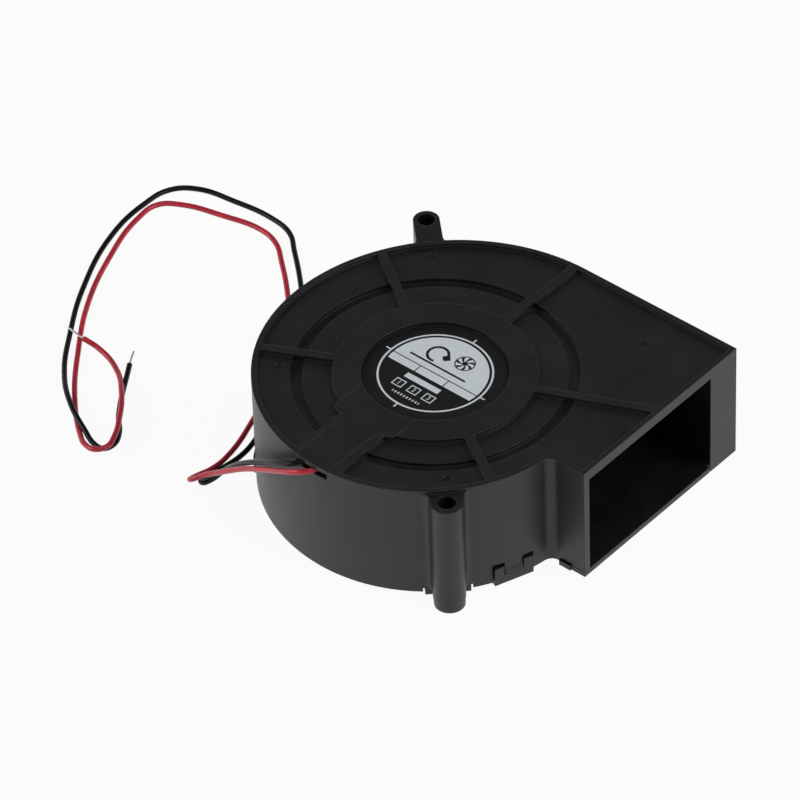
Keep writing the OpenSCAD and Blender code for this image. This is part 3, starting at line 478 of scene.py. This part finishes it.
def printedLabel(name, look):
    f = Finish(name)
    away = f.away()
    ring = f.below(abs(away - look["ring"]), look["ringHalf"])
    reach, half = look["tickHalf"]
    ticks = f.below(abs(f.x), half) | f.below(abs(f.y), half)
    ticks = ticks & f.below(abs(away - look["ring"] - look["tickOut"]), reach)
    field = f.below(away, look["field"])
    upper = field & (1 - f.below(f.y, look["fieldLow"]))
    bandTop, bandLow = look["band"]
    band = field & f.below(f.y, bandTop) & (1 - f.below(f.y, bandLow))
    for x in look["dividers"]:
        band = band & (1 - f.below(abs(f.x - x), look["dividerHalf"]))
    dark = (bladedWheel(f, wheelLook) | turningArrow(f, arrowLook) | f.box(*look["line"])) & upper
    silver = ((ring | ticks | upper | band) & (1 - dark)) | f.box(*look["bar"])
    halfX, halfY = look["squareHalf"]
    wall = look["squareWall"]
    for x in look["squares"]:
        hole = f.box(x, look["squareY"], halfX - wall, halfY - wall)
        silver = silver | (f.box(x, look["squareY"], halfX, halfY) & (1 - hole))
    stroke = abs((f.x / look["strokePitch"]).fraction() - 0.5)
    silver = silver | (f.box(*look["strokes"]) & f.below(stroke, look["strokeHalf"]))
    fade = f.noise(look["fade"], 4, 0.6)
    ink = f.blend(f.noise(look["cloud"], 2), look["ink"], times(look["lift"], look["ink"]))
    metal = f.blend(f.step(fade, 0.3, 0.7), times(look["worn"], look["silver"]), look["silver"])
    return f.use(colour=f.blend(silver, ink, metal), metal=silver * look["metal"], specular=look["shine"],
                 rough=look["rough"] + 0.12 * (fade - 0.5) - 0.05 * silver,
                 normal=f.bump(silver * 0.4 + 0.25 * f.noise(0.5, 3), look["depth"], 0.6))


def printInk(name, colour):
    f = Finish(name)
    return f.use(colour=f.blend(f.noise(0.6, 3), colour, times(0.85, colour)), rough=0.45)


numeralLook = {"size": 1.84, "raise": 0.02, "sink": 0.01}


def makeNumerals(words, label, look):
    made = bmesh.new()
    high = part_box("label")[1][2] + (look["raise"] - look["sink"]) / 2 * mm
    for word, x in zip(words, label["squares"]):
        text = bpy.data.curves.new("numeral", "FONT")
        text.body, text.align_x, text.align_y = word, "CENTER", "CENTER"
        text.size, text.extrude = look["size"] * mm, (look["raise"] + look["sink"]) / 2 * mm
        holder = linkObject("numeral", text)
        flat = evaluatedMesh(holder)
        flat.transform(Matrix.Translation((x * mm, label["squareY"] * mm, high)))
        made.from_mesh(flat)
        bpy.data.objects.remove(holder)
        bpy.data.curves.remove(text)
        bpy.data.meshes.remove(flat)
    mesh = bpy.data.meshes.new("labelNumerals")
    made.to_mesh(mesh)
    made.free()
    numerals = linkObject("labelNumerals", mesh)
    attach(numerals, "casing")


makeNumerals("123", labelLook, numeralLook)
print("numerals made")


def giveFinish(material, *names):
    for name in names:
        holder = nodes[name] if name in nodes else bpy.data.objects[name]
        holder.data.materials.clear()
        holder.data.materials.append(material)


giveFinish(mouldedPlastic("casingPlastic", casingLook), "housing", "inlet_cover", "lead_channel_cover",
           "tube_cap")
giveFinish(mouldedPlastic("impellerPlastic", impellerLook), "impeller")
giveFinish(leadInsulation("redInsulation", "red", leadLook), "redLead", "red_lead")
giveFinish(leadInsulation("blackInsulation", "black", leadLook), "blackLead", "black_lead")
giveFinish(tinnedWire("tinnedWire", tinLook), "redWire", "blackWire", "red_wire_end", "black_wire_end",
           "red_solder_joint", "black_solder_joint")
giveFinish(printedLabel("labelPrint", labelLook), "label")
giveFinish(printInk("labelInk", labelLook["silver"]), "labelNumerals")
giveFinish(turnedMetal("drawnSteel", steelLook), "rotor_yoke", "retaining_clip", "preload_spring",
           "lower_bearing_shields", "upper_bearing_shields")
giveFinish(turnedMetal("groundSteel", groundLook), "shaft", "lower_bearing_outer", "lower_bearing_inner",
           "lower_bearing_balls", "upper_bearing_outer", "upper_bearing_inner", "upper_bearing_balls")
giveFinish(turnedMetal("turnedBrass", brassLook), "shaft_boss", "bearing_tube", "lower_bearing_cage",
           "upper_bearing_cage")
giveFinish(grainedSolid("magnetFerrite", magnetLook), "magnet_ring")
giveFinish(stackedSheet("coreSheet", sheetLook), "stator_core")
giveFinish(woundCopper("coilWire", coilLook), "coil_1", "coil_2", "coil_3", "coil_4")
giveFinish(mouldedNylon("insulatorNylon", nylonLook), "lower_insulator", "upper_insulator")
giveFinish(printedBoard("boardMask", boardLook), "circuit_board")
giveFinish(grainedSolid("chipPackage", chipLook), "hall_sensor", "driver_chip")
giveFinish(grainedSolid("capacitorBody", ceramicLook), "capacitor")
print("finishes given")

# A white sweep that fades to a dim ceiling; heights and paper's gap in millimetres, lamps in metres and watts
studio = {"horizon": 1.0, "ceiling": 0.03, "fade": (0.05, 0.6), "paper": 0.88, "paperRough": 0.9,
          "paperGlow": 0.93, "paperGap": 0.05, "paperSize": 6,
          "lamps": (("rightLamp", (0.95, 0.35, 0.75), 0.8, 7.0), ("leftLamp", (-1.0, -0.75, 0.7), 0.8, 7.0),
                    ("topLamp", (0.15, -0.1, 1.3), 0.9, 2.9))}


def makeSky(values):
    scene.world = bpy.data.worlds.new("studio")
    scene.world.use_nodes = True
    graph = Graph(scene.world.node_tree)
    spot = graph.add("ShaderNodeTexCoord", {}, {}, out="Generated")
    height = graph.add("ShaderNodeSeparateXYZ", {}, {0: spot}, out="Z")
    low, high = values["fade"]
    rise = graph.add("ShaderNodeMapRange", {}, {"Value": height, "From Min": low, "From Max": high,
                                                "To Min": values["horizon"], "To Max": values["ceiling"]})
    camera = graph.add("ShaderNodeLightPath", {}, {}, out="Is Camera Ray")
    background = graph.tree.nodes["Background"]
    graph.feed(background.inputs["Strength"], rise | camera | camera.sibling("Is Transmission Ray"))
    graph.feed(background.inputs["Color"], (1, 1, 1, 1))


def floorPaper(name, values):
    f = Finish(name)
    f.use(colour=(values["paper"],) * 3, rough=values["paperRough"])
    camera = f.add("ShaderNodeLightPath", {}, {}, out="Is Camera Ray")
    seen = camera | camera.sibling("Is Glossy Ray") | camera.sibling("Is Transmission Ray")
    glow = f.add("ShaderNodeEmission", {}, {"Color": (1, 1, 1, 1)})
    matt = Sock(f, f.shader.outputs[0])
    paper = f.add("ShaderNodeMixShader", {}, {0: seen * values["paperGlow"], 1: matt, 2: glow})
    clear = f.add("ShaderNodeBsdfTransparent", {}, {})
    under = f.add("ShaderNodeNewGeometry", {}, {}, out="Backfacing")  # clear from below, to see the inlet
    surface = f.add("ShaderNodeMixShader", {}, {0: under, 1: paper, 2: clear})
    f.feed(f.tree.nodes["Material Output"].inputs["Surface"], surface)
    return f.material


def makeFloor(values):
    made = bmesh.new()
    bmesh.ops.create_grid(made, x_segments=1, y_segments=1, size=values["paperSize"])
    bmesh.ops.translate(made, verts=made.verts, vec=(0, 0, cadBox[0][2] - values["paperGap"] * mm))
    mesh = bpy.data.meshes.new("floor")
    made.to_mesh(mesh)
    made.free()
    floor = linkObject("floor", mesh)
    floor.data.materials.append(floorPaper("floorPaper", values))


def makeLamps(lamps):
    for name, place, size, power in lamps:
        lamp = bpy.data.lights.new(name, "AREA")
        lamp.shape, lamp.size, lamp.energy = "DISK", size, power
        way = Vector(place).normalized()
        holder = linkObject(name, lamp)
        holder.matrix_world = Matrix.Translation(place) @ way.to_track_quat("Z", "Y").to_matrix().to_4x4()


makeSky(studio)
makeFloor(studio)
makeLamps(studio["lamps"])
print("stage set")
